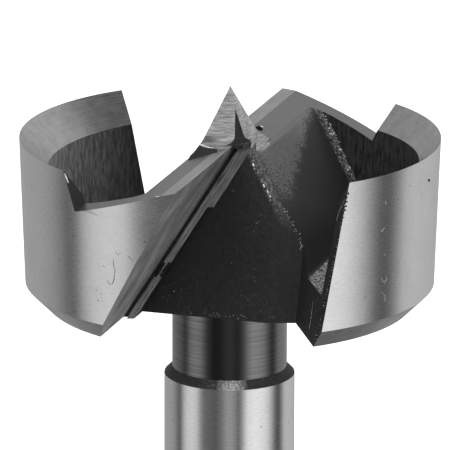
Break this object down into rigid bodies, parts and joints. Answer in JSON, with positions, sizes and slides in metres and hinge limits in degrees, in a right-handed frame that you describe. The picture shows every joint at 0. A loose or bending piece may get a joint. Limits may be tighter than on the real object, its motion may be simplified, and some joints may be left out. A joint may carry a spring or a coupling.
{
  "type": "forstner bit",
  "caption": "Forstner bit: a round cutting head with sharp rim cutters, ground chip lifters and a centre point, on a necked round shank; bores flat-bottomed holes in wood.",
  "frame": {"origin": "centre of the shank's end face", "axes": "+Z along the axis from the shank's end to the centre point; +X across the head, to the right as pictured; -Y towards the camera"},
  "size_m": [0.032, 0.031, 0.09],
  "materials": {
    "tool_steel": "ground bright on the outside, the lips and the shank; black forged and oxidised in the gullets, pockets and neck"
  },
  "bodies": {
    "root": {"forstner_bit": "tool_steel"}
  },
  "joints": []
}
